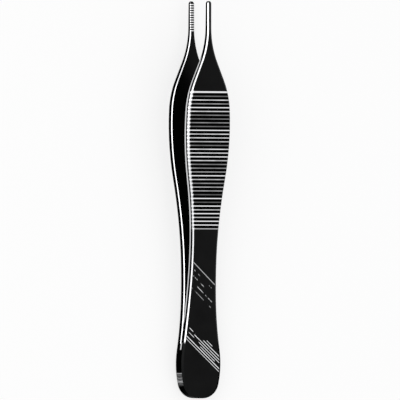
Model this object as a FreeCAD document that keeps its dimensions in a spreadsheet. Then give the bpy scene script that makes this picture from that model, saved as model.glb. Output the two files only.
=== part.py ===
import FreeCAD, Part
import math
import os
import Sketcher

# Thumb forceps, 120 mm long: two equal spring blades joined flat to flat at
# the heel. Each blade has a waisted spring, a broad fluted thumb grip on its
# outer face, a narrow neck and a thin jaw with cross teeth on its inner face.
#
# Each blade is drawn in its own frame. The inner face of its heel is z = 0,
# the heel end is at y = 0 and the tip points along +Y. The blade lies below
# z = 0, with a low weld pad on top of its heel. The upper blade is the same
# forging turned over about the long axis, pad on pad.

Vector = FreeCAD.Vector

# Driving sizes in millimetres and degrees: name, value, meaning.
SIZES = (
    ("overall_length", 120.0, "heel end to jaw tip"),
    ("blade_thick", 2.1, "thickness of heel, spring and grip"),
    ("tip_thick", 1.3, "thickness of the jaw at its tip"),
    ("weld_length", 16.5, "length of the weld pad on the heel"),
    ("weld_pad", 0.15, "height of the weld pad above the inner face"),
    ("bend_radius", 150.0, "bend of the inner face where the blades part"),
    ("spring_angle", 5.0, "slope of the straight spring away from the heel"),
    ("bow_length", 41.5, "length of the bowed grip"),
    ("bow_to_tip", 27.5, "front of the bowed grip to the tip"),
    ("bow_radius", 600.0, "bow of the grip's inner face"),
    ("heel_flat", 1.4, "straight end of the heel"),
    ("heel_width", 13.2, "widest part of the heel"),
    ("heel_widest", 10.4, "heel end to the widest part of the heel"),
    ("cheek_length", 4.1, "widest part of the heel to where its side turns hollow"),
    ("waist_width", 8.5, "narrowest part of the spring"),
    ("waist_place", 43.0, "heel end to the waist"),
    ("grip_width", 14.5, "widest part of the thumb grip"),
    ("grip_to_tip", 38.5, "widest part of the grip to the tip"),
    ("flare_length", 15.4, "from where the waist's side turns full to the widest grip"),
    ("shoulder_radius", 28.0, "side curve where the grip runs into the neck"),
    ("neck_angle", 22.5, "slope of the neck to the long axis"),
    ("neck_radius", 27.0, "hollow side curve from neck to jaw"),
    ("jaw_width", 1.5, "width of the jaw"),
    ("jaw_length", 8.2, "straight part of the jaw"),
    ("outer_bevel", 0.6, "width of the bevel round the outer face"),
    ("outer_bevel_depth", 0.4, "depth of that bevel down the side wall"),
    ("inner_bevel", 0.35, "width of the bevel round the inner face"),
    ("inner_bevel_depth", 0.25, "depth of that bevel down the side wall"),
    ("flute_inset", 0.8, "start of the bowed grip to its first flute"),
    ("flute_pitch", 1.145, "spacing of the flutes"),
    ("flute_depth", 0.38, "depth of a flute"),
    ("flute_angle", 90.0, "included angle of a flute"),
    ("flute_count", 36, "number of flutes"),
    ("tooth_start", 0.6, "tip to the first notch between the jaw teeth"),
    ("tooth_pitch", 0.72, "spacing of the jaw teeth"),
    ("tooth_depth", 0.28, "depth of the notches between the teeth"),
    ("tooth_angle", 80.0, "included angle of a notch"),
    ("tooth_count", 12, "number of notches"),
)

# Room that the cutting outlines keep outside the blank.
CUT_MARGIN = 3.0
NOTCH_MARGIN = 0.3

# The bent strip runs on past the tip, and the plan outline rounds it off.
STRIP_OVERRUN = 0.5

# A broad face leans less than this from level, and a side wall from upright.
LEAN_ANGLE = 20.0


def make_sheet(doc):
    """Write the driving sizes into the spreadsheet and give each its alias."""
    sheet = doc.addObject("Spreadsheet::Sheet", "Sizes")
    for row, (alias, value, meaning) in enumerate(SIZES, start=1):
        sheet.set(f"A{row}", meaning)
        sheet.set(f"B{row}", str(value))
        sheet.setAlias(f"B{row}", alias)
    doc.recompute()
    return sheet


class SideProfile:
    """Corners and centres of the blade's side view, worked out from the sheet.

    Points are (y, z) in the blade's frame, with the blade below z = 0.
    """

    def __init__(self, sizes):
        thick = sizes.blade_thick
        bend = sizes.bend_radius
        bow = sizes.bow_radius
        self.spring = math.radians(sizes.spring_angle)
        self.jaw = math.asin(math.sin(self.spring) - sizes.bow_length / bow)
        self.bow_end = sizes.overall_length - sizes.bow_to_tip
        self.bow_start = self.bow_end - sizes.bow_length
        self.bend_centre = (sizes.weld_length, -bend)
        self.inner_bend_end = self.on_bend(bend)
        drop = (self.bow_start - self.inner_bend_end[0]) * math.tan(self.spring)
        self.inner_bow_start = (self.bow_start, self.inner_bend_end[1] - drop)
        self.bow_centre = (
            self.inner_bow_start[0] + bow * math.sin(self.spring),
            self.inner_bow_start[1] + bow * math.cos(self.spring),
        )
        self.inner_bow_end = self.on_bow(bow, self.jaw)
        self.inner_tip = self.on_jaw(sizes.overall_length)
        self.inner_end = self.on_jaw(sizes.overall_length + STRIP_OVERRUN)
        self.outer_end = (
            self.inner_end[0] - sizes.tip_thick * math.sin(self.jaw),
            self.inner_end[1] - sizes.tip_thick * math.cos(self.jaw),
        )
        outer_slope = math.asin((self.bow_centre[0] - self.bow_end) / (bow + thick))
        self.outer_bow_end = self.on_bow(bow + thick, outer_slope)
        self.outer_bow_start = self.on_bow(bow + thick, self.spring)
        self.outer_bend_end = self.on_bend(bend - thick)

    def on_bend(self, radius):
        """Point where an arc about the bend's centre meets the straight spring."""
        return (
            self.bend_centre[0] + radius * math.sin(self.spring),
            self.bend_centre[1] + radius * math.cos(self.spring),
        )

    def on_jaw(self, place):
        """Point of the jaw's inner face at a distance from the heel end."""
        run = place - self.inner_bow_end[0]
        return (place, self.inner_bow_end[1] - run * math.tan(self.jaw))

    def on_bow(self, radius, slope):
        """Point at which an arc about the bow's centre has the given slope."""
        return (
            self.bow_centre[0] - radius * math.sin(slope),
            self.bow_centre[1] - radius * math.cos(slope),
        )


def add_line(sketch, start, end):
    return sketch.addGeometry(Part.LineSegment(Vector(*start, 0), Vector(*end, 0)), False)


def add_arc(sketch, centre, start, end):
    """Add the arc that runs anticlockwise from start to end about the centre."""
    radius = math.dist(centre, start)
    angles = [math.atan2(p[1] - centre[1], p[0] - centre[0]) for p in (start, end)]
    circle = Part.Circle(Vector(*centre, 0), Vector(0, 0, 1), radius)
    return sketch.addGeometry(Part.ArcOfCircle(circle, *angles), False)


def constrain(sketch, kind, *where):
    """Add a constraint that needs no size."""
    sketch.addConstraint(Sketcher.Constraint(kind, *where))


def dimension(sketch, name, kind, size, *where):
    """Add a named dimension bound to an expression in the sheet's sizes."""
    value = sketch.evalExpression(size)
    if kind == "Angle":
        value = math.radians(value)
    index = sketch.addConstraint(Sketcher.Constraint(kind, *where, value))
    sketch.renameConstraint(index, name)
    sketch.setExpression(f"Constraints.{name}", size)


class PlanOutline:
    """Centres and tangent points of the right half of the plan outline.

    Points are (x, y). Every arc runs smoothly into the next curve.
    """

    def __init__(self, sizes):
        length = sizes.overall_length
        shoulder, neck = sizes.shoulder_radius, sizes.neck_radius
        half_jaw = sizes.jaw_width / 2
        self.heel_widest = (sizes.heel_width / 2, sizes.heel_widest)
        self.waist = (sizes.waist_width / 2, sizes.waist_place)
        self.grip_widest = (sizes.grip_width / 2, length - sizes.grip_to_tip)

        cheek, hollow = s_curve(self.heel_widest, self.waist, sizes.cheek_length)
        self.cheek_centre = (self.heel_widest[0] - cheek, self.heel_widest[1])
        self.rear_waist_centre = (self.waist[0] + hollow, self.waist[1])
        self.cheek_to_waist = along(self.cheek_centre, self.rear_waist_centre, cheek)
        self.heel_corner = (sizes.heel_flat / 2, 0.0)
        across = self.heel_corner[0] - self.cheek_centre[0]
        end = cheek**2 - across**2 - sizes.heel_widest**2
        end /= 2 * (cheek - sizes.heel_widest)
        self.end_centre = (self.heel_corner[0], end)
        self.end_to_cheek = along(self.cheek_centre, self.end_centre, cheek)

        grip, hollow = s_curve(self.grip_widest, self.waist, sizes.flare_length)
        self.grip_centre = (self.grip_widest[0] - grip, self.grip_widest[1])
        self.front_waist_centre = (self.waist[0] + hollow, self.waist[1])
        self.waist_to_grip = along(self.grip_centre, self.front_waist_centre, grip)

        slope = math.radians(sizes.neck_angle)
        self.jaw_start = (half_jaw, length - sizes.jaw_length)
        self.neck_centre = (half_jaw + neck, self.jaw_start[1])
        self.line_to_neck = polar(self.neck_centre, -neck, slope)
        gap = [a - b for a, b in zip(self.line_to_neck, self.grip_centre)]
        across = gap[0] * math.cos(slope) + gap[1] * math.sin(slope) - shoulder
        back = math.sqrt((grip - shoulder)**2 - across**2)
        side_point = polar(self.grip_centre, across, slope)
        self.shoulder_centre = polar(side_point, back, slope - math.pi / 2)
        self.grip_to_shoulder = along(self.grip_centre, self.shoulder_centre, grip)
        self.shoulder_to_line = polar(self.shoulder_centre, shoulder, slope)

        self.tip_centre = (0.0, length - half_jaw)
        self.jaw_end = (half_jaw, length - half_jaw)
        self.tip = (0.0, length)


def s_curve(widest, narrowest, full_length):
    """Radii of the full and the hollow arc from the widest place to the narrowest.

    Both places are level with their arc's centre. full_length is the run of the
    full arc, and the run and the rise are shared out as the radii are.
    """
    run = abs(narrowest[1] - widest[1])
    rise = widest[0] - narrowest[0]
    both = (run**2 + rise**2) / (2 * rise)
    full = both * full_length / run
    return full, both - full


def bearing(start, end):
    return math.atan2(end[1] - start[1], end[0] - start[0])


def polar(centre, radius, angle):
    return (centre[0] + radius * math.cos(angle), centre[1] + radius * math.sin(angle))


def along(start, end, distance):
    return polar(start, distance, bearing(start, end))


def new_sketch(body, name, plane_role, offset=None):
    """Make a sketch on one of the body's origin planes, moved by an offset."""
    sketch = body.newObject("Sketcher::SketchObject", name)
    planes = {item.Role: item for item in body.Origin.OriginFeatures}
    sketch.AttachmentSupport = [(planes[plane_role], "")]
    sketch.MapMode = "FlatFace"
    if offset is not None:
        sketch.AttachmentOffset = offset
    return sketch


# A sketch's numbers for its own axes, the points of a curve and its origin.
X_AXIS, Y_AXIS = range(-1, -3, -1)
START, END, CENTRE = range(1, 4)
ORIGIN = (X_AXIS, START)


def draw_side_profile(sketch, sizes):
    """Side view of the blade: heel, bend, spring, bowed grip and tapered jaw."""
    side = SideProfile(sizes)
    heel = (sizes.weld_length, 0.0)
    outer_heel = (sizes.weld_length, -sizes.blade_thick)
    outer_corner = (0.0, -sizes.blade_thick)

    inner_heel = add_line(sketch, (0.0, 0.0), heel)
    inner_bend = add_arc(sketch, side.bend_centre, side.inner_bend_end, heel)
    inner_spring = add_line(sketch, side.inner_bend_end, side.inner_bow_start)
    inner_bow = add_arc(
        sketch, side.bow_centre, side.inner_bow_start, side.inner_bow_end
    )
    inner_jaw = add_line(sketch, side.inner_bow_end, side.inner_end)
    tip = add_line(sketch, side.inner_end, side.outer_end)
    outer_jaw = add_line(sketch, side.outer_end, side.outer_bow_end)
    outer_bow = add_arc(
        sketch, side.bow_centre, side.outer_bow_start, side.outer_bow_end
    )
    outer_spring = add_line(sketch, side.outer_bow_start, side.outer_bend_end)
    outer_bend = add_arc(sketch, side.bend_centre, side.outer_bend_end, outer_heel)
    outer_heel_line = add_line(sketch, outer_heel, outer_corner)
    heel_end = add_line(sketch, outer_corner, (0.0, 0.0))

    constrain(sketch, "Coincident", inner_heel, START, *ORIGIN)
    constrain(sketch, "Horizontal", inner_heel)
    constrain(sketch, "Tangent", inner_heel, END, inner_bend, END)
    constrain(sketch, "Tangent", inner_bend, START, inner_spring, START)
    constrain(sketch, "Tangent", inner_spring, END, inner_bow, START)
    constrain(sketch, "Tangent", inner_bow, END, inner_jaw, START)
    constrain(sketch, "Coincident", inner_jaw, END, tip, START)
    constrain(sketch, "Perpendicular", inner_jaw, tip)
    constrain(sketch, "Coincident", tip, END, outer_jaw, START)
    constrain(sketch, "Coincident", outer_jaw, END, outer_bow, END)
    constrain(sketch, "Coincident", outer_bow, CENTRE, inner_bow, CENTRE)
    constrain(sketch, "Tangent", outer_bow, START, outer_spring, START)
    constrain(sketch, "Tangent", outer_spring, END, outer_bend, START)
    constrain(sketch, "Coincident", outer_bend, CENTRE, inner_bend, CENTRE)
    constrain(sketch, "Tangent", outer_bend, END, outer_heel_line, START)
    constrain(sketch, "Horizontal", outer_heel_line)
    constrain(sketch, "Coincident", outer_heel_line, END, heel_end, START)
    constrain(sketch, "Coincident", heel_end, END, *ORIGIN)
    constrain(sketch, "Vertical", heel_end)

    dimension(sketch, "weld_length", "Distance", "Sizes.weld_length", inner_heel)
    dimension(sketch, "bend_radius", "Radius", "Sizes.bend_radius", inner_bend)
    dimension(
        sketch, "outer_bend", "Radius", "Sizes.bend_radius - Sizes.blade_thick", outer_bend
    )
    dimension(
        sketch, "spring_angle", "Angle", "0 - Sizes.spring_angle", *ORIGIN, inner_spring, START
    )
    dimension(
        sketch, "bow_start", "DistanceX",
        "Sizes.overall_length - Sizes.bow_to_tip - Sizes.bow_length",
        *ORIGIN, inner_spring, END,
    )
    dimension(sketch, "bow_radius", "Radius", "Sizes.bow_radius", inner_bow)
    dimension(
        sketch, "outer_bow", "Radius", "Sizes.bow_radius + Sizes.blade_thick", outer_bow
    )
    bow_end = "Sizes.overall_length - Sizes.bow_to_tip"
    dimension(sketch, "bow_end", "DistanceX", bow_end, *ORIGIN, inner_bow, END)
    dimension(sketch, "outer_bow_end", "DistanceX", bow_end, *ORIGIN, outer_bow, END)
    dimension(
        sketch, "strip_end", "DistanceX",
        f"Sizes.overall_length + {STRIP_OVERRUN}", *ORIGIN, inner_jaw, END,
    )
    dimension(sketch, "tip_thick", "Distance", "Sizes.tip_thick", tip)


def draw_waste(sketch, sizes):
    """Waste to the right of the plan outline, from its curves out to a border."""
    plan = PlanOutline(sizes)
    border = max(sizes.grip_width, sizes.heel_width) / 2 + CUT_MARGIN
    top = sizes.overall_length + CUT_MARGIN
    corners = ((0.0, top), (border, top), (border, -CUT_MARGIN), (0.0, -CUT_MARGIN))

    heel_flat = add_line(sketch, (0.0, 0.0), plan.heel_corner)
    heel_end = add_arc(sketch, plan.end_centre, plan.heel_corner, plan.end_to_cheek)
    cheek = add_arc(sketch, plan.cheek_centre, plan.end_to_cheek, plan.cheek_to_waist)
    rear_waist = add_arc(
        sketch, plan.rear_waist_centre, plan.waist, plan.cheek_to_waist
    )
    front_waist = add_arc(
        sketch, plan.front_waist_centre, plan.waist_to_grip, plan.waist
    )
    grip = add_arc(sketch, plan.grip_centre, plan.waist_to_grip, plan.grip_to_shoulder)
    shoulder = add_arc(
        sketch, plan.shoulder_centre, plan.grip_to_shoulder, plan.shoulder_to_line
    )
    neck_line = add_line(sketch, plan.shoulder_to_line, plan.line_to_neck)
    neck = add_arc(sketch, plan.neck_centre, plan.jaw_start, plan.line_to_neck)
    jaw = add_line(sketch, plan.jaw_start, plan.jaw_end)
    tip = add_arc(sketch, plan.tip_centre, plan.jaw_end, plan.tip)
    above = add_line(sketch, plan.tip, corners[0])
    head = add_line(sketch, corners[0], corners[1])
    side = add_line(sketch, corners[1], corners[2])
    foot = add_line(sketch, corners[2], corners[3])
    below = add_line(sketch, corners[3], (0.0, 0.0))
    heel_radius = add_line(sketch, plan.cheek_centre, plan.heel_widest)
    grip_radius = add_line(sketch, plan.grip_centre, plan.grip_widest)
    sketch.setConstruction(heel_radius, True)
    sketch.setConstruction(grip_radius, True)

    constrain(sketch, "Coincident", heel_flat, START, *ORIGIN)
    constrain(sketch, "Horizontal", heel_flat)
    constrain(sketch, "Tangent", heel_flat, END, heel_end, START)
    constrain(sketch, "Tangent", heel_end, END, cheek, START)
    constrain(sketch, "Tangent", cheek, END, rear_waist, END)
    constrain(sketch, "Tangent", rear_waist, START, front_waist, END)
    constrain(sketch, "Tangent", front_waist, START, grip, START)
    constrain(sketch, "Tangent", grip, END, shoulder, START)
    constrain(sketch, "Tangent", shoulder, END, neck_line, START)
    constrain(sketch, "Tangent", neck_line, END, neck, END)
    constrain(sketch, "Tangent", neck, START, jaw, START)
    constrain(sketch, "Vertical", jaw)
    constrain(sketch, "Tangent", jaw, END, tip, START)
    constrain(sketch, "PointOnObject", tip, CENTRE, Y_AXIS)
    constrain(sketch, "PointOnObject", tip, END, Y_AXIS)
    constrain(sketch, "Coincident", tip, END, above, START)
    constrain(sketch, "Vertical", above)
    constrain(sketch, "Coincident", above, END, head, START)
    constrain(sketch, "Horizontal", head)
    constrain(sketch, "Coincident", head, END, side, START)
    constrain(sketch, "Vertical", side)
    constrain(sketch, "Coincident", side, END, foot, START)
    constrain(sketch, "Horizontal", foot)
    constrain(sketch, "Coincident", foot, END, below, START)
    constrain(sketch, "PointOnObject", foot, END, Y_AXIS)
    constrain(sketch, "Coincident", below, END, *ORIGIN)
    for line, arc in ((heel_radius, cheek), (grip_radius, grip)):
        constrain(sketch, "Coincident", line, START, arc, CENTRE)
        constrain(sketch, "PointOnObject", line, END, arc)
        constrain(sketch, "Horizontal", line)

    dimension(sketch, "heel_flat", "Distance", "Sizes.heel_flat / 2", heel_flat)
    dimension(
        sketch, "heel_half", "DistanceX", "Sizes.heel_width / 2",
        *ORIGIN, heel_radius, END,
    )
    dimension(
        sketch, "heel_widest", "DistanceY", "Sizes.heel_widest",
        *ORIGIN, heel_radius, END,
    )
    dimension(
        sketch, "cheek_length", "DistanceY", "Sizes.cheek_length",
        cheek, CENTRE, cheek, END,
    )
    dimension(
        sketch, "waist_half", "DistanceX", "Sizes.waist_width / 2",
        *ORIGIN, rear_waist, START,
    )
    dimension(
        sketch, "waist_place", "DistanceY", "Sizes.waist_place",
        *ORIGIN, rear_waist, START,
    )
    dimension(
        sketch, "waist_level", "DistanceY", "Sizes.waist_place",
        *ORIGIN, rear_waist, CENTRE,
    )
    dimension(
        sketch, "flare_length", "DistanceY", "Sizes.flare_length",
        grip, START, grip, CENTRE,
    )
    dimension(
        sketch, "grip_half", "DistanceX", "Sizes.grip_width / 2",
        *ORIGIN, grip_radius, END,
    )
    dimension(
        sketch, "grip_place", "DistanceY", "Sizes.overall_length - Sizes.grip_to_tip",
        *ORIGIN, grip_radius, END,
    )
    dimension(sketch, "shoulder_radius", "Radius", "Sizes.shoulder_radius", shoulder)
    dimension(
        sketch, "neck_angle", "Angle", "90 + Sizes.neck_angle", *ORIGIN, neck_line, START
    )
    dimension(sketch, "neck_radius", "Radius", "Sizes.neck_radius", neck)
    dimension(
        sketch, "jaw_half", "DistanceX", "Sizes.jaw_width / 2", *ORIGIN, jaw, START
    )
    dimension(
        sketch, "jaw_start", "DistanceY",
        "Sizes.overall_length - Sizes.jaw_length", *ORIGIN, jaw, START,
    )
    dimension(
        sketch, "overall_length", "DistanceY", "Sizes.overall_length", *ORIGIN, tip, END
    )
    dimension(
        sketch, "border_side", "DistanceX",
        f"max(Sizes.grip_width; Sizes.heel_width) / 2 + {CUT_MARGIN}", *ORIGIN, head, END,
    )
    dimension(
        sketch, "border_top", "DistanceY",
        f"Sizes.overall_length + {CUT_MARGIN}", *ORIGIN, head, END,
    )
    dimension(sketch, "border_foot", "Distance", str(CUT_MARGIN), below)


def draw_weld_pad(sketch, sizes):
    """Plain rectangle over the heel, wide enough to be trimmed to the outline."""
    half = (max(sizes.grip_width, sizes.heel_width) + CUT_MARGIN) / 2
    back = -CUT_MARGIN / 2
    front = sizes.weld_length
    corners = ((-half, back), (half, back), (half, front), (-half, front))
    foot, right, head, left = (
        add_line(sketch, start, end)
        for start, end in zip(corners, corners[1:] + corners[:1])
    )
    constrain(sketch, "Coincident", foot, END, right, START)
    constrain(sketch, "Coincident", right, END, head, START)
    constrain(sketch, "Coincident", head, END, left, START)
    constrain(sketch, "Coincident", left, END, foot, START)
    constrain(sketch, "Vertical", right)
    constrain(sketch, "Symmetric", foot, START, foot, END, Y_AXIS)
    constrain(sketch, "Symmetric", head, START, head, END, Y_AXIS)
    dimension(
        sketch, "half_width", "DistanceX",
        f"(max(Sizes.grip_width; Sizes.heel_width) + {CUT_MARGIN}) / 2",
        *ORIGIN, head, START,
    )
    dimension(sketch, "back", "DistanceY", f"{CUT_MARGIN} / 2", foot, START, *ORIGIN)
    dimension(sketch, "front", "DistanceY", "Sizes.weld_length", *ORIGIN, head, START)


def draw_notch(sketch, surface, depth, angle):
    """V cut into a surface that crosses the sketch's Y axis at a given height.

    The point lies below the surface, and the flanks run on above it.
    """
    height = sketch.evalExpression(surface)
    half_angle = math.radians(sketch.evalExpression(angle)) / 2
    point = (0.0, height - sketch.evalExpression(depth))
    mouth = height + NOTCH_MARGIN
    half_mouth = math.tan(half_angle) * (mouth - point[1])
    right = add_line(sketch, point, (half_mouth, mouth))
    lid = add_line(sketch, (half_mouth, mouth), (-half_mouth, mouth))
    left = add_line(sketch, (-half_mouth, mouth), point)
    constrain(sketch, "Coincident", right, END, lid, START)
    constrain(sketch, "Coincident", lid, END, left, START)
    constrain(sketch, "Coincident", left, END, right, START)
    constrain(sketch, "PointOnObject", right, START, Y_AXIS)
    constrain(sketch, "Symmetric", lid, START, lid, END, Y_AXIS)
    dimension(
        sketch, "point", "DistanceY", f"{surface} - {depth}", *ORIGIN, right, START
    )
    dimension(
        sketch, "mouth", "DistanceY", f"{surface} + {NOTCH_MARGIN}", *ORIGIN, lid, START
    )
    dimension(sketch, "flank", "Angle", f"90 - {angle} / 2", *ORIGIN, right, START)


def cut_through(body, name, sketch):
    """Cut a sketch's shape through the blade, both ways from its plane."""
    pocket = body.newObject("PartDesign::Pocket", name)
    pocket.Profile = sketch
    pocket.Type = "ThroughAll"
    pocket.SideType = "Symmetric"
    return pocket


def side_edges(shape, z_direction):
    """Names of the edges between the side walls and the faces toward +Z or -Z."""
    level = math.cos(math.radians(LEAN_ANGLE))
    upright = math.sin(math.radians(LEAN_ANGLE))
    broad = [f for f in shape.Faces if middle_normal(f).z * z_direction > level]
    walls = [f for f in shape.Faces if abs(middle_normal(f).z) < upright]
    names = []
    for number, edge in enumerate(shape.Edges, start=1):
        on_broad = any(edge.isSame(e) for face in broad for e in face.Edges)
        on_wall = any(edge.isSame(e) for face in walls for e in face.Edges)
        if on_broad and on_wall:
            names.append(f"Edge{number}")
    return names


def trim_both_sides(doc, body, name, waste):
    """Cut the waste off the right side of the blade and then off the left."""
    right = cut_through(body, name + "_right", waste)
    doc.recompute()
    planes = {item.Role: item for item in body.Origin.OriginFeatures}
    left = body.newObject("PartDesign::Mirrored", name + "_left")
    left.Originals = [right]
    left.MirrorPlane = (planes["YZ_Plane"], [""])
    body.Tip = left
    doc.recompute()
    return left


def add_bevel(doc, body, base, size, z_direction):
    """Bevel the rim of the face toward +Z or -Z, by a width and a depth."""
    bevel = body.newObject("PartDesign::Chamfer", f"{body.Label}_{size}")
    bevel.Base = (base, side_edges(base.Shape, z_direction))
    bevel.ChamferType = "Two distances"
    bevel.setExpression("Size", f"Sizes.{size}_depth")
    bevel.setExpression("Size2", f"Sizes.{size}")
    doc.recompute()
    return bevel


def middle_normal(face):
    u_min, u_max, v_min, v_max = face.ParameterRange
    return face.normalAt((u_min + u_max) / 2, (v_min + v_max) / 2)


def make_blade(doc, sheet, name, tooth_shift):
    """Build one blade in its own frame, weld plane up and tip along +Y."""
    body = doc.addObject("PartDesign::Body", name)
    body.Label = name
    side = SideProfile(sheet)

    # The strip, bent to its side view.
    profile = new_sketch(body, name + "_side_view", "YZ_Plane")
    draw_side_profile(profile, sheet)
    strip = body.newObject("PartDesign::Pad", name + "_strip")
    strip.Profile = profile
    strip.SideType = "Symmetric"
    strip.setExpression(
        "Length", f"max(Sizes.grip_width; Sizes.heel_width) + {CUT_MARGIN}"
    )
    doc.recompute()

    # The plan outline.
    waste = new_sketch(body, name + "_waste", "XY_Plane")
    draw_waste(waste, sheet)
    blank = trim_both_sides(doc, body, name + "_outline", waste)

    # The bevels round the outer and the inner face.
    outer = add_bevel(doc, body, blank, "outer_bevel", -1)
    add_bevel(doc, body, outer, "inner_bevel", 1)

    # The weld pad, which also fills the inner bevel round the heel.
    pad_view = new_sketch(body, name + "_pad_view", "XY_Plane")
    draw_weld_pad(pad_view, sheet)
    pad = body.newObject("PartDesign::Pad", name + "_weld_pad")
    pad.Profile = pad_view
    pad.SideType = "Two sides"
    pad.setExpression("Length", "Sizes.weld_pad")
    pad.setExpression("Length2", "Sizes.inner_bevel_depth")
    doc.recompute()
    trim_both_sides(doc, body, name + "_pad_outline", waste)

    # The flutes of the thumb grip, spaced along its bow.
    outer_bow = sheet.bow_radius + sheet.blade_thick
    first_flute = side.bow_start + sheet.flute_inset
    slope = math.asin((side.bow_centre[0] - first_flute) / outer_bow)
    centre = Vector(*side.bow_centre, 0)
    turn = FreeCAD.Rotation(Vector(0, 0, 1), 180 - math.degrees(slope))
    flute_view = new_sketch(
        body, name + "_flute_view", "YZ_Plane", FreeCAD.Placement(centre, turn)
    )
    draw_notch(
        flute_view, "(Sizes.bow_radius + Sizes.blade_thick)",
        "Sizes.flute_depth", "Sizes.flute_angle",
    )
    flute = cut_through(body, name + "_flute", flute_view)
    doc.recompute()
    flutes = body.newObject("PartDesign::PolarPattern", name + "_flutes")
    flutes.Originals = [flute]
    flutes.Axis = (flute_view, ["N_Axis"])
    flutes.Mode = "Spacing"
    flutes.setExpression("Occurrences", "Sizes.flute_count")
    flutes.setExpression(
        "Offset",
        "Sizes.flute_pitch / (Sizes.bow_radius + Sizes.blade_thick) * 180 / pi",
    )
    body.Tip = flutes
    doc.recompute()

    # The cross teeth of the jaw.
    back = sheet.tooth_start + tooth_shift
    first_notch = Vector(
        side.inner_tip[0] - back * math.cos(side.jaw),
        side.inner_tip[1] + back * math.sin(side.jaw),
        0,
    )
    turn = FreeCAD.Rotation(Vector(0, 0, 1), -math.degrees(side.jaw))
    tooth_view = new_sketch(
        body, name + "_tooth_view", "YZ_Plane", FreeCAD.Placement(first_notch, turn)
    )
    draw_notch(tooth_view, "0", "Sizes.tooth_depth", "Sizes.tooth_angle")
    notch = cut_through(body, name + "_notch", tooth_view)
    doc.recompute()
    teeth = body.newObject("PartDesign::LinearPattern", name + "_teeth")
    teeth.Originals = [notch]
    teeth.Direction = (tooth_view, ["H_Axis"])
    teeth.Reversed = True
    teeth.Mode = "Spacing"
    teeth.setExpression("Occurrences", "Sizes.tooth_count")
    teeth.setExpression("Offset", "Sizes.tooth_pitch")
    body.Tip = teeth
    doc.recompute()
    return body


def rest_tilt(sheet):
    """Angle from the heel of the lower blade to the table under it.

    The blade touches the table with the bevelled end of its heel and with the
    bow of its grip, so the table is the tangent from the one to the other.
    """
    side = SideProfile(sheet)
    heel = (sheet.outer_bevel, -sheet.blade_thick)
    outer_bow = sheet.bow_radius + sheet.blade_thick
    reach = math.dist(heel, side.bow_centre)
    return math.asin(outer_bow / reach) - bearing(heel, side.bow_centre)


def lay_down(doc, sheet, lower, upper):
    """Turn the upper blade over, lay the pair on z = 0 and centre it."""
    turn = FreeCAD.Rotation(Vector(1, 0, 0), math.degrees(rest_tilt(sheet)))
    tilt = FreeCAD.Placement(Vector(), turn)
    over = FreeCAD.Placement(
        Vector(0, 0, 2 * sheet.weld_pad), FreeCAD.Rotation(Vector(0, 1, 0), 180)
    )
    lower.Placement = tilt
    upper.Placement = tilt * over
    doc.recompute()
    box = Part.makeCompound([lower.Shape, upper.Shape]).optimalBoundingBox(False)
    shift = Vector(-box.Center.x, -box.Center.y, -box.ZMin)
    for blade in (lower, upper):
        blade.Placement.Base = blade.Placement.Base + shift
    doc.recompute()


def check_document(doc, blades):
    """Stop if a feature failed or a blade isn't one sound solid."""
    for item in doc.Objects:
        if {"Invalid", "Error"} & set(item.State):
            raise RuntimeError(f"{item.Name} failed: {item.State}")
    for blade in blades:
        shape = blade.Shape
        if shape.isNull() or not shape.isValid() or len(shape.Solids) != 1:
            raise RuntimeError(f"{blade.Label} is not one sound solid")


def main():
    doc = FreeCAD.newDocument("ThumbForceps")
    sheet = make_sheet(doc)
    lower = make_blade(doc, sheet, "lower_blade", 0.0)
    # The upper teeth stand over the lower notches, so the closed jaws mesh.
    upper = make_blade(doc, sheet, "upper_blade", sheet.tooth_pitch / 2)
    lay_down(doc, sheet, lower, upper)
    check_document(doc, (lower, upper))
    os.makedirs("parts", exist_ok=True)
    for blade in (lower, upper):
        blade.Shape.exportStep(f"parts/{blade.Label}.step")


main()
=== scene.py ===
import math

import bpy
from mathutils import Matrix, Vector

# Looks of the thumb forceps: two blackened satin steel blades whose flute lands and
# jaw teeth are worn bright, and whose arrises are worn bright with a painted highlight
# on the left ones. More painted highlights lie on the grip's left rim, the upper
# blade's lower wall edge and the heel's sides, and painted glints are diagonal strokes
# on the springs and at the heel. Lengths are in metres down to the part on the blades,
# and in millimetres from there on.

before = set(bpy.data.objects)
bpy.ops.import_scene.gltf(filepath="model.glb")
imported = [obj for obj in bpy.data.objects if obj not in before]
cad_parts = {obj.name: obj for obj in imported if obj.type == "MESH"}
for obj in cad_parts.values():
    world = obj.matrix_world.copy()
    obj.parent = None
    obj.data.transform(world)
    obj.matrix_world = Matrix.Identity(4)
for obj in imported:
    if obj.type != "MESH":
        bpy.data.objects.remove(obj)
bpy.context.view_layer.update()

MM = 0.001

# The photograph: 400 x 400 pixels, seen from above and a little to the left.
IMAGE_PIXELS = 400
PIXELS_PER_MM = 3.3095
VIEW_SIDE = math.radians(26.46)
REST_TILT = math.radians(3.14)
ROLL = math.radians(-1.12)
AIM_RIGHT, AIM_UP, AIM_BACK = 2.77 * MM, 0.09 * MM, 6.0 * MM
LENS = 1500.0
SENSOR = 36.0

# The floor: just below the table's plane, and partly lit from within, so that
# it stays white to the camera and still takes a soft shadow.
FLOOR_SIZE, FLOOR_DROP = 6.0, 0.00002
FLOOR_TONE, FLOOR_GLOW = 0.9, 0.72
WORLD_LEVEL = 0.9


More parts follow.
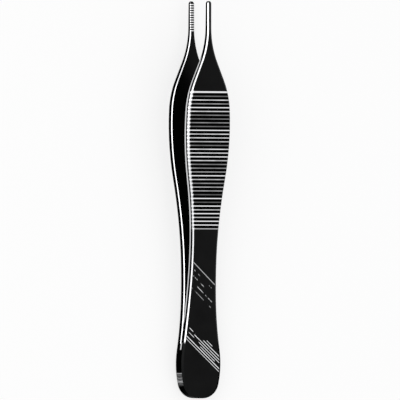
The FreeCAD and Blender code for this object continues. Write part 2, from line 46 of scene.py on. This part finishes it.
def add_camera():
    """A long lens at the photograph's angle, with the row's Y axis up the image."""
    side = Vector((-math.sin(VIEW_SIDE), 0.0, math.cos(VIEW_SIDE)))
    back = Matrix.Rotation(REST_TILT, 3, "X") @ side
    right = Vector((0.0, 1.0, 0.0)).cross(back).normalized()
    up = back.cross(right)
    turn = Matrix.Rotation(ROLL, 3, back)
    right, up = turn @ right, turn @ up
    axes = Matrix((right, up, back)).transposed()
    aim = right * AIM_RIGHT + up * AIM_UP + back * AIM_BACK
    width = IMAGE_PIXELS / PIXELS_PER_MM * MM
    data = bpy.data.cameras.new("camera")
    data.lens, data.sensor_width = LENS, SENSOR
    camera = bpy.data.objects.new("camera", data)
    distance = width * LENS / SENSOR
    camera.matrix_world = Matrix.Translation(aim + back * distance) @ axes.to_4x4()
    data.clip_start, data.clip_end = distance * 0.1, distance * 10
    bpy.context.collection.objects.link(camera)
    bpy.context.scene.camera = camera


def add_lamp(name, direction, distance, size, power):
    """A square soft box that faces the middle of the object."""
    data = bpy.data.lights.new(name, "AREA")
    data.shape, data.size, data.energy = "SQUARE", size, power
    lamp = bpy.data.objects.new(name, data)
    away = Vector(direction).normalized()
    lamp.location = away * distance
    lamp.rotation_mode = "QUATERNION"
    lamp.rotation_quaternion = away.to_track_quat("Z", "Y")
    bpy.context.collection.objects.link(lamp)


class Nodes:
    """Short ways to wire one node tree. A value may be a number or a socket."""

    def __init__(self, tree):
        self.tree = tree

    def add(self, kind, **settings):
        node = self.tree.nodes.new(kind)
        for name, value in settings.items():
            setattr(node, name, value)
        return node

    def feed(self, socket, value):
        if isinstance(value, bpy.types.NodeSocket):
            self.tree.links.new(value, socket)
        else:
            socket.default_value = value

    def feed_all(self, sockets, values):
        for socket, value in zip(sockets, values):
            self.feed(socket, value)

    def math(self, operation, *values):
        node = self.add("ShaderNodeMath", operation=operation)
        self.feed_all(node.inputs, values)
        return node.outputs[0]

    def chain(self, operation, values):
        result = values[0]
        for value in values[1:]:
            result = self.math(operation, result, value)
        return result

    def product(self, *values):
        return self.chain("MULTIPLY", values)

    def total(self, *values):
        return self.chain("ADD", values)

    def most(self, *values):
        return self.chain("MAXIMUM", values)

    def absolute(self, value):
        return self.math("ABSOLUTE", value)

    def ramp(self, value, start, end, low=0.0, high=1.0):
        """Runs smoothly from low at start to high at end."""
        node = self.add("ShaderNodeMapRange", interpolation_type="SMOOTHSTEP")
        names = ("Value", "From Min", "From Max", "To Min", "To Max")
        sockets = [node.inputs[name] for name in names]
        self.feed_all(sockets, (value, start, end, low, high))
        return node.outputs[0]

    def window(self, value, start, end, soft):
        """1 between start and end, and 0 outside, with soft edges."""
        rise = self.ramp(self.math("SUBTRACT", value, start), -soft, soft)
        fall = self.ramp(self.math("SUBTRACT", value, end), soft, -soft)
        return self.math("MULTIPLY", rise, fall)

    def vector(self, operation, *values):
        node = self.add("ShaderNodeVectorMath", operation=operation)
        self.feed_all(node.inputs, values)
        return node.outputs[0]

    def combine(self, x, y, z):
        node = self.add("ShaderNodeCombineXYZ")
        self.feed_all(node.inputs, (x, y, z))
        return node.outputs[0]

    def split(self, vector):
        node = self.add("ShaderNodeSeparateXYZ")
        self.feed(node.inputs[0], vector)
        return node.outputs

    def noise(self, vector, scale, detail, rough):
        node = self.add("ShaderNodeTexNoise")
        self.feed(node.inputs["Vector"], vector)
        node.inputs["Scale"].default_value = scale
        node.inputs["Detail"].default_value = detail
        node.inputs["Roughness"].default_value = rough
        return node.outputs["Fac"]

    def streaks(self, across, along, stretch, place=0.0, detail=2.0, rough=0.5):
        """Noise that is drawn out or squeezed across and along the blade."""
        across, along = self.product(across, stretch[0]), self.product(along, stretch[1])
        return self.noise(self.combine(across, along, place), 1.0, detail, rough)

    def scatter(self, number, seed):
        """A random number from 0 to 1 for each whole number."""
        node = self.add("ShaderNodeTexWhiteNoise", noise_dimensions="1D")
        self.feed(node.inputs["W"], self.total(number, seed))
        return node.outputs["Value"]

    def blend(self, factor, first, second):
        node = self.add("ShaderNodeMix", data_type="FLOAT")
        sockets = [node.inputs[place] for place in (0, 2, 3)]
        self.feed_all(sockets, (factor, first, second))
        return node.outputs[0]

    def stripes(self, value, first, pitch):
        """The number of the stripe that a value is in, and its place across it.

        Stripe 0 is centred on first, and the place runs from -0.5 to 0.5.
        """
        step = self.math("DIVIDE", self.math("SUBTRACT", value, first), pitch)
        number = self.math("ROUND", step)
        return number, self.math("SUBTRACT", step, number)


def new_material(name):
    material = bpy.data.materials.new(name)
    material.use_nodes = True
    nodes = Nodes(material.node_tree)
    shader = material.node_tree.nodes["Principled BSDF"]
    return material, nodes, shader


def seen_white(nodes):
    """1 for camera, glossy and transmission rays, and 0 for the rest."""
    path = nodes.add("ShaderNodeLightPath")
    kinds = ("Camera", "Glossy", "Transmission")
    rays = [path.outputs[f"Is {kind} Ray"] for kind in kinds]
    return nodes.math("MINIMUM", nodes.total(*rays), 1.0)


def add_floor():
    """A white floor that keeps the object's shadow."""
    bpy.ops.mesh.primitive_plane_add(size=FLOOR_SIZE, location=(0.0, 0.0, -FLOOR_DROP))
    floor = bpy.context.object
    floor.name = "floor"
    material, nodes, shader = new_material("floor_white")
    shader.inputs["Base Color"].default_value = (FLOOR_TONE, FLOOR_TONE, FLOOR_TONE, 1.0)
    shader.inputs["Roughness"].default_value = 0.9
    shader.inputs["Specular IOR Level"].default_value = 0.0
    glow = nodes.add("ShaderNodeEmission")
    mixer = nodes.add("ShaderNodeMixShader")
    share = nodes.math("MULTIPLY", seen_white(nodes), FLOOR_GLOW)
    nodes.feed_all(mixer.inputs, (share, shader.outputs[0], glow.outputs[0]))
    output = material.node_tree.nodes["Material Output"]
    nodes.feed(output.inputs["Surface"], mixer.outputs[0])
    floor.data.materials.append(material)


def light_world():
    """White to the camera and in reflections, and a plain level for the rest."""
    world = bpy.data.worlds.new("studio")
    bpy.context.scene.world = world
    world.use_nodes = True
    nodes = Nodes(world.node_tree)
    background = world.node_tree.nodes["Background"]
    background.inputs["Color"].default_value = (1.0, 1.0, 1.0, 1.0)
    level = nodes.blend(seen_white(nodes), WORLD_LEVEL, 1.0)
    nodes.feed(background.inputs["Strength"], level)


# The blades. The numbers below are millimetres along the row's axes, or say how
# far a surface leans: 1 faces straight along an axis, and 0 lies along it.

# The two blades are the same forging turned over, so the lower one is worked as
# if mirrored onto the upper one in the plane that both heels lie against.
MIDDLE_POINT = (0.0, -51.0135, 2.7085)
MIDDLE_AXIS = (0.0, -0.05478, 0.9985)

# How far each kind of surface leans out of the blade's face: the faces, the
# bevels and the side walls. Flute and tooth flanks lean along the blade, and
# SIDE_LEAN tells its left side from its right. The next three tell the outer
# side, the flutes' ends and the bevels beside the lands, and the last the bevels
# beside the teeth, which face inwards.
FACE_LEAN = (0.86, 0.92)
BEVEL_LEAN = (0.45, 0.88)
WALL_LEAN = (0.35, 0.25)
FLANK_LEAN = (0.44, 0.34)
SIDE_LEAN = 0.15
OUTER_LEAN, RIM_LEAN, LAND_LEAN = (0.0, 0.2), (0.2, 0.5), (0.3, 0.5)
TOOTH_LEAN = (-0.3, -0.4)

# How softly a surface's lean, a thin line and a wider one end.
LEAN_SOFT, THIN_SOFT, WIDE_SOFT = 0.03, 0.03, 0.05

# The upper blade's inner face, seen from the side: its height and slope at the
# heel, and the places between which it bends away and bows back.
HEEL_HEIGHT, HEEL_SLOPE = 3.267, 0.05486
BEND_START, BEND_END, BEND_CURVE = -43.56, -30.54, 0.00337
BOW_START, BOW_END, BOW_CURVE = -9.25, 32.07, 0.000845

# The outline along the grip: half the waist's width, and the places from which
# it curves outwards, then inwards, then more sharply, and at last runs straight.
WAIST_HALF = 4.25
WAIST, FLARE, SHOULDER, NECK = -17.45, 5.65, 26.52, 35.69
WAIST_CURVE, GRIP_CURVE, SHOULDER_CURVE = 0.003353, 0.005029, 0.017857

# The blade's thickness, and where it starts to thin towards the tip.
BLADE_THICK, TIP_THICK = 2.115, 1.3
THINS_FROM, TIP = 32.07, 59.9

# The bright part of each arris, edge wear with a painted highlight: the outer one's
# depth below the outer face, and the inner one's height above the inner face. The
# painted highlight favours the left, so the right arrises get far less.
OUTER_ARRIS_BAND = (0.05, 0.27)
INNER_ARRIS_BAND = (-0.05, 0.17)
RIGHT_HIGHLIGHT_SHARE = 0.06
BRIGHT_TIP, TIP_SOFT = 59.4, 0.1

# Where the bright arrises end at the heel, how softly and how raggedly.
ARRIS_END = {"upper": -43.3, "lower": -45.2}
ARRIS_SOFT, ARRIS_RAGGED = 0.5, 1.2

# The flutes: the middle of the land behind the first one, their spacing along
# the length, and how many lands there are. A line closes them at the front.
FIRST_LAND, LAND_PITCH = -9.135, 1.1381
LAND_COUNT = 37
FRONT_LINE = (31.8, 32.2)
GRIP_SOFT = 0.5

# The worn part of a land: its width, how softly it ends in shares of the pitch,
# how much the lands differ, and how the wear comes and goes across the grip. The
# two rearmost lands and the foremost one are worn through.
LAND_WIDTH = 0.25
LAND_SOFT = (0.04, -0.02)
LAND_WEAR, LAND_SEED = (0.13, 1.4), 11.0
STREAKS, STREAK_RANGE, STREAK_WEAR = (0.25, 3.7), (0.3, 0.7), (0.75, 1.2)
REAR_LANDS = (-0.5, 1.5)
FRONT_LANDS = (LAND_COUNT - 1.5, LAND_COUNT)

# Where the flutes cut the left edge, a painted highlight lies on their ends: how far
# in from the edge that starts, how far it reaches at the rear and at the front of
# the grip, and the places between which its reach grows.
RIM_START = 0.14
RIM_WIDTH = (0.65, 0.93)
RIM_REACH = (-9.0, 12.0)

# Where the land behind the jaw's last notch ends, and how far from the middle
# the lands run on over the bevels.
TEETH_END = {"upper": 50.16, "lower": 50.52}
TOOTH_EDGE = (0.42, 0.62)

# A painted highlight along the lower edge of the upper blade's side wall: its reach
# along the blade and at the heel, and its height above the inner face, with more in the
# grip.
EDGE_REACH, EDGE_SOFT = (-36.5, 42.0), 1.5
EDGE_HEEL, EDGE_HEEL_SOFT = (-45.4, -43.4), 0.2
EDGE_HEIGHT = (0.15, 0.9)
EDGE_GRIP = 0.2

# Painted glints, bright diagonal strokes on the spring: how far they lean, where the
# first is, their spacing and number, their width in shares of that spacing, and how
# they break up. The first one is whole, and the others are fainter.
STROKE_LEAN = 0.9
SPRING_STROKE, SPRING_PITCH, SPRING_COUNT = -22.45, 1.95, 5
SPRING_WIDTH = (0.10, 0.05)
SPRING_STREAKS, SPRING_BREAKS, SPRING_GLINT = (0.42, 5.3), (0.52, 0.60), 0.6

# Painted glints at the heel: the line they begin at, how softly their sides and
# ends fade, and how they break up. Each has its distance from that line, its ends
# in X and its width.
HEEL_LINE = -46.8
HEEL_SOFT, HEEL_END_SOFT = 0.04, 0.2
HEEL_STREAKS, HEEL_BREAKS, HEEL_FAINT = (0.9, 1.3), (0.32, 0.42), 0.3
HEEL_STREAK_PLACE = 4.0
HEEL_STROKES = (
    (0.0, -6.0, 6.0, 0.20),
    (0.95, -5.0, 6.0, 0.32),
    (1.85, -0.4, 4.4, 0.22),
    (2.75, -0.9, 6.0, 0.24),
    (3.65, -2.4, 6.0, 0.26),
    (4.65, 0.6, 6.0, 0.28),
    (5.65, 1.8, 3.6, 0.24),
    (2.7, -4.3, -2.6, 0.20),
    (4.2, -4.1, -2.9, 0.24),
)

# Painted highlight hatching, short bright marks across the sides of the heel: their
# reach, their spacing, their width in shares of it, and how much they differ.
SIDE_MARKS, SIDE_MARK_SOFT = (-56.3, -52.3), 0.1
SIDE_MARK_PITCH = 0.46
SIDE_MARK_WIDTH = (0.38, 0.12)
SIDE_MARK_BRIGHTNESS, SIDE_MARK_SEED = (0.15, 0.9), 40.0

# The steel: its dark tone, and the bright tone of its wear and painted highlights,
# each varied by a grain that runs along the blade, its faint blue, how bright it
# turns at a glancing angle, its roughness where it is satin and where it is bright,
# and the strength and depth of the grain.
DARK_TONE, DARK_GRAIN = (0.005, 0.011), (0.75, 1.25)
WEAR_AND_HIGHLIGHT_TONE = (0.78, 0.94)
GRAIN_STRETCH = (9.0, 0.35)
TINT = (1.0, 1.005, 1.02)
EDGE_TINT = 0.3
SATIN_ROUGH, WEAR_AND_HIGHLIGHT_ROUGH = (0.26, 0.42), 0.24
GRAIN_BUMP, GRAIN_HEIGHT = 0.12, 0.02


def curved(nodes, y, start, end, curve):
    """Rise of a line that bends upwards between two places along the blade."""
    def squared(place):
        run = nodes.math("MAXIMUM", nodes.math("SUBTRACT", y, place), 0.0)
        return nodes.math("MULTIPLY", run, run)

    return nodes.product(nodes.math("SUBTRACT", squared(start), squared(end)), curve)


def inner_height(nodes, y):
    """Height of the upper blade's inner face above the table."""
    run = nodes.math("SUBTRACT", y, BEND_START)
    height = nodes.total(nodes.product(run, HEEL_SLOPE), HEEL_HEIGHT)
    bend = curved(nodes, y, BEND_START, BEND_END, BEND_CURVE)
    bow = curved(nodes, y, BOW_START, BOW_END, -BOW_CURVE)
    return nodes.total(height, bend, bow)


def half_width(nodes, y):
    """Half the width of the blade's outline along the grip."""
    waist = curved(nodes, y, WAIST, FLARE, WAIST_CURVE)
    grip = curved(nodes, y, FLARE, SHOULDER, -GRIP_CURVE)
    shoulder = curved(nodes, y, SHOULDER, NECK, -SHOULDER_CURVE)
    return nodes.total(waist, grip, shoulder, WAIST_HALF)


class Surface:
    """Where a point of one blade lies, and which kinds of surface it belongs to."""

    def __init__(self, nodes, which):
        self.which = which
        place = nodes.add("ShaderNodeTexCoord")
        metres, normal = place.outputs["Object"], place.outputs["Normal"]
        spot = nodes.vector("MULTIPLY", metres, (1 / MM, 1 / MM, 1 / MM))
        if which == "lower":
            spot = nodes.vector("SUBTRACT", spot, MIDDLE_POINT)
            spot = nodes.vector("REFLECT", spot, MIDDLE_AXIS)
            spot = nodes.vector("ADD", spot, MIDDLE_POINT)
            normal = nodes.vector("REFLECT", normal, MIDDLE_AXIS)
        self.spot = spot
        self.x, self.y, self.z = nodes.split(spot)
        across, along, self.out = nodes.split(normal)

        lean = nodes.absolute(self.out)
        start, end = FACE_LEAN
        self.outer_face = nodes.ramp(self.out, start, end)
        self.inner_face = nodes.ramp(self.out, -start, -end)
        self.bevel = nodes.window(lean, *BEVEL_LEAN, LEAN_SOFT)
        self.wall = nodes.ramp(lean, *WALL_LEAN)
        self.sideways = nodes.ramp(nodes.absolute(along), *FLANK_LEAN)
        # Painted highlight: the left side takes the bright marks in full, the right only
        # a small share.
        self.left_highlight = nodes.ramp(across, SIDE_LEAN, -SIDE_LEAN, low=RIGHT_HIGHLIGHT_SHARE)
        self.grip = nodes.window(self.y, FIRST_LAND, FRONT_LINE[1], GRIP_SOFT)

        self.above = nodes.math("SUBTRACT", self.z, inner_height(nodes, self.y))
        slope = (TIP_THICK - BLADE_THICK) / (TIP - THINS_FROM)
        thinned = nodes.product(nodes.most(nodes.total(self.y, -THINS_FROM), 0.0), slope)
        thick = nodes.total(thinned, BLADE_THICK)
        self.depth = nodes.math("SUBTRACT", thick, self.above)


def painted_and_worn_arrises(nodes, blade):
    """Bevels, bright from the tip to the heel with edge wear and a painted highlight,
    the left ones more than the right.
    """
    start, end = OUTER_LEAN
    outer = nodes.window(blade.depth, *OUTER_ARRIS_BAND, THIN_SOFT)
    outer = nodes.product(outer, nodes.ramp(blade.out, start, end))
    inner = nodes.window(blade.above, *INNER_ARRIS_BAND, THIN_SOFT)
    inner = nodes.product(inner, nodes.ramp(blade.out, -start, -end))
    wear_and_highlight = nodes.noise(blade.spot, scale=0.55, detail=3.0, rough=0.6)
    shift = nodes.product(nodes.total(wear_and_highlight, -0.5), ARRIS_RAGGED)
    heel = ARRIS_END[blade.which]
    reach = nodes.ramp(nodes.total(blade.y, shift), heel - ARRIS_SOFT, heel + ARRIS_SOFT)
    tip = nodes.ramp(blade.y, BRIGHT_TIP + TIP_SOFT, BRIGHT_TIP - TIP_SOFT)
    return nodes.product(
        blade.bevel, nodes.most(outer, inner), blade.left_highlight, reach, tip, blade.sideways
    )


def painted_rim_highlight(nodes, blade):
    """A painted highlight on the flutes' ends along the left edge of the grip."""
    inset = nodes.total(half_width(nodes, blade.y), blade.x)
    width = nodes.ramp(blade.y, *RIM_REACH, *RIM_WIDTH)
    rim = nodes.window(inset, RIM_START, width, WIDE_SOFT)
    return nodes.product(rim, blade.grip, nodes.ramp(blade.out, *RIM_LEAN))


def worn_lands(nodes, blade):
    """The lands between the flutes, each by its own amount, and the front line."""
    number, across = nodes.stripes(blade.y, FIRST_LAND, LAND_PITCH)
    half = LAND_WIDTH / LAND_PITCH / 2
    land = nodes.ramp(nodes.absolute(across), half + LAND_SOFT[0], half + LAND_SOFT[1])
    fluted = nodes.window(number, 0.0, LAND_COUNT - 1, soft=0.4)
    rear = nodes.window(number, *REAR_LANDS, soft=0.1)
    last = nodes.window(number, *FRONT_LANDS, soft=0.1)
    bright_share = nodes.ramp(nodes.scatter(number, LAND_SEED), 0.0, 1.0, *LAND_WEAR)
    streak = nodes.streaks(blade.x, number, STREAKS)
    streak = nodes.ramp(streak, *STREAK_RANGE, *STREAK_WEAR)
    bright_share = nodes.most(nodes.product(bright_share, streak), rear, last)
    bevel = nodes.product(blade.bevel, nodes.ramp(blade.out, *LAND_LEAN))
    face = nodes.most(blade.outer_face, bevel)
    front = nodes.product(nodes.window(blade.y, *FRONT_LINE, WIDE_SOFT), face)
    return nodes.total(nodes.product(land, fluted, face, bright_share), front)


def worn_teeth(nodes, blade):
    """The lands between the jaw's dark notches, with their ends on the bevels."""
    end = TEETH_END[blade.which]
    toothed = nodes.ramp(blade.y, end - THIN_SOFT, end + THIN_SOFT)
    beside = nodes.window(nodes.absolute(blade.x), *TOOTH_EDGE, THIN_SOFT)
    inward = nodes.ramp(blade.out, *TOOTH_LEAN)
    tip = nodes.ramp(blade.y, BRIGHT_TIP, BRIGHT_TIP - 2 * TIP_SOFT)
    beside = nodes.product(beside, blade.bevel, blade.sideways, inward, tip)
    return nodes.product(toothed, nodes.most(blade.inner_face, beside))


def painted_glint_strokes(nodes, blade):
    """Painted glints: bright strokes that lean across the outer face, on the spring and
    at the heel.
    """
    line = nodes.total(blade.y, nodes.product(blade.x, STROKE_LEAN))
    number, across = nodes.stripes(line, SPRING_STROKE, -SPRING_PITCH)
    thin = nodes.ramp(nodes.absolute(across), *SPRING_WIDTH)
    broken = nodes.streaks(blade.x, number, SPRING_STREAKS, detail=3.0, rough=0.7)
    whole = nodes.ramp(number, 0.6, 0.4)
    kept = nodes.most(whole, nodes.ramp(broken, *SPRING_BREAKS, high=SPRING_GLINT))
    group = nodes.window(number, 0.0, SPRING_COUNT - 1, soft=0.4)
    spring = nodes.product(thin, kept, group)

    heel = 0.0
    for distance, left, right, wide in HEEL_STROKES:
        off = nodes.absolute(nodes.total(line, -HEEL_LINE - distance))
        thin = nodes.ramp(off, wide / 2 + HEEL_SOFT, wide / 2 - HEEL_SOFT)
        ends = nodes.window(blade.x, left, right, HEEL_END_SOFT)
        heel = nodes.most(nodes.product(thin, ends), heel)
    broken = nodes.streaks(
        blade.x, line, HEEL_STREAKS, HEEL_STREAK_PLACE, detail=3.0, rough=0.7
    )
    heel = nodes.product(heel, nodes.ramp(broken, *HEEL_BREAKS, low=HEEL_FAINT))
    return nodes.product(blade.outer_face, nodes.most(spring, heel))


def painted_heel_hatching(nodes, blade):
    """Painted highlight hatching: short bright marks across the sides of the heel."""
    number, across = nodes.stripes(blade.y, SIDE_MARKS[0], SIDE_MARK_PITCH)
    mark = nodes.ramp(nodes.absolute(across), *SIDE_MARK_WIDTH)
    bright_share = nodes.ramp(nodes.scatter(number, SIDE_MARK_SEED), 0.0, 1.0, *SIDE_MARK_BRIGHTNESS)
    reach = nodes.window(blade.y, *SIDE_MARKS, SIDE_MARK_SOFT)
    return nodes.product(blade.wall, mark, bright_share, reach)


def painted_wall_highlight(nodes, blade):
    """A painted highlight along the lower edge of the side wall and on the line that
    parts the heels.
    """
    low, high = EDGE_HEIGHT
    high = nodes.total(nodes.product(blade.grip, EDGE_GRIP), high)
    edge = nodes.window(blade.above, low, high, WIDE_SOFT)
    parting = nodes.window(blade.y, *EDGE_HEEL, EDGE_HEEL_SOFT)
    parting = nodes.product(parting, blade.left_highlight)
    along = nodes.most(nodes.window(blade.y, *EDGE_REACH, EDGE_SOFT), parting)
    return nodes.product(blade.wall, edge, along)


# The bright marks: wear on the arrises, lands and teeth, and painted highlights and
# glints.
WEAR_AND_HIGHLIGHT_PARTS = (
    painted_and_worn_arrises, painted_rim_highlight, worn_lands, worn_teeth, painted_glint_strokes, painted_heel_hatching,
)


def blade_steel(name, which):
    """Blackened steel for one blade, bright where it is worn and where highlights are
    painted.
    """
    material, nodes, shader = new_material(name)
    blade = Surface(nodes, which)
    wear_and_highlight = [part(nodes, blade) for part in WEAR_AND_HIGHLIGHT_PARTS]
    # The upper blade also gets the painted highlight along its wall's lower edge.
    if which == "upper":
        wear_and_highlight.append(painted_wall_highlight(nodes, blade))
    bright = nodes.total(*wear_and_highlight)
    bright = nodes.math("MINIMUM", bright, 1.0)

    grain = nodes.streaks(
        blade.x, blade.y, GRAIN_STRETCH, blade.z, detail=4.0, rough=0.65
    )
    cloud = nodes.noise(blade.spot, scale=0.12, detail=3.0, rough=0.55)
    dark = nodes.product(nodes.blend(cloud, *DARK_TONE), nodes.blend(grain, *DARK_GRAIN))
    # The bright tone goes where the steel is worn and where highlights are painted.
    tone = nodes.blend(bright, dark, nodes.blend(grain, *WEAR_AND_HIGHLIGHT_TONE))
    colour = nodes.combine(*[nodes.product(tone, share) for share in TINT])
    nodes.feed(shader.inputs["Base Color"], colour)
    shader.inputs["Metallic"].default_value = 1.0
    shader.inputs["Specular Tint"].default_value = (EDGE_TINT, EDGE_TINT, EDGE_TINT, 1.0)
    rough = nodes.blend(bright, nodes.blend(grain, *SATIN_ROUGH), WEAR_AND_HIGHLIGHT_ROUGH)
    nodes.feed(shader.inputs["Roughness"], rough)
    bump = nodes.add("ShaderNodeBump")
    bump.inputs["Strength"].default_value = GRAIN_BUMP
    bump.inputs["Distance"].default_value = GRAIN_HEIGHT * MM
    nodes.feed(bump.inputs["Height"], grain)
    nodes.feed(shader.inputs["Normal"], bump.outputs[0])
    return material


def dress(node, material):
    """Give a CAD node its material."""
    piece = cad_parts[node]
    piece.data.materials.clear()
    piece.data.materials.append(material)
    for face in piece.data.polygons:
        face.material_index = 0


bpy.context.scene.view_settings.view_transform = "Standard"
dress("upper_blade", blade_steel("dark_steel_upper", "upper"))
dress("lower_blade", blade_steel("dark_steel_lower", "lower"))
add_floor()
light_world()
add_lamp("key", direction=(-0.75, 0.15, 0.65), distance=1.2, size=0.7, power=2.2)
add_lamp("fill", direction=(0.5, -0.6, 0.6), distance=1.5, size=0.9, power=1.5)
add_camera()
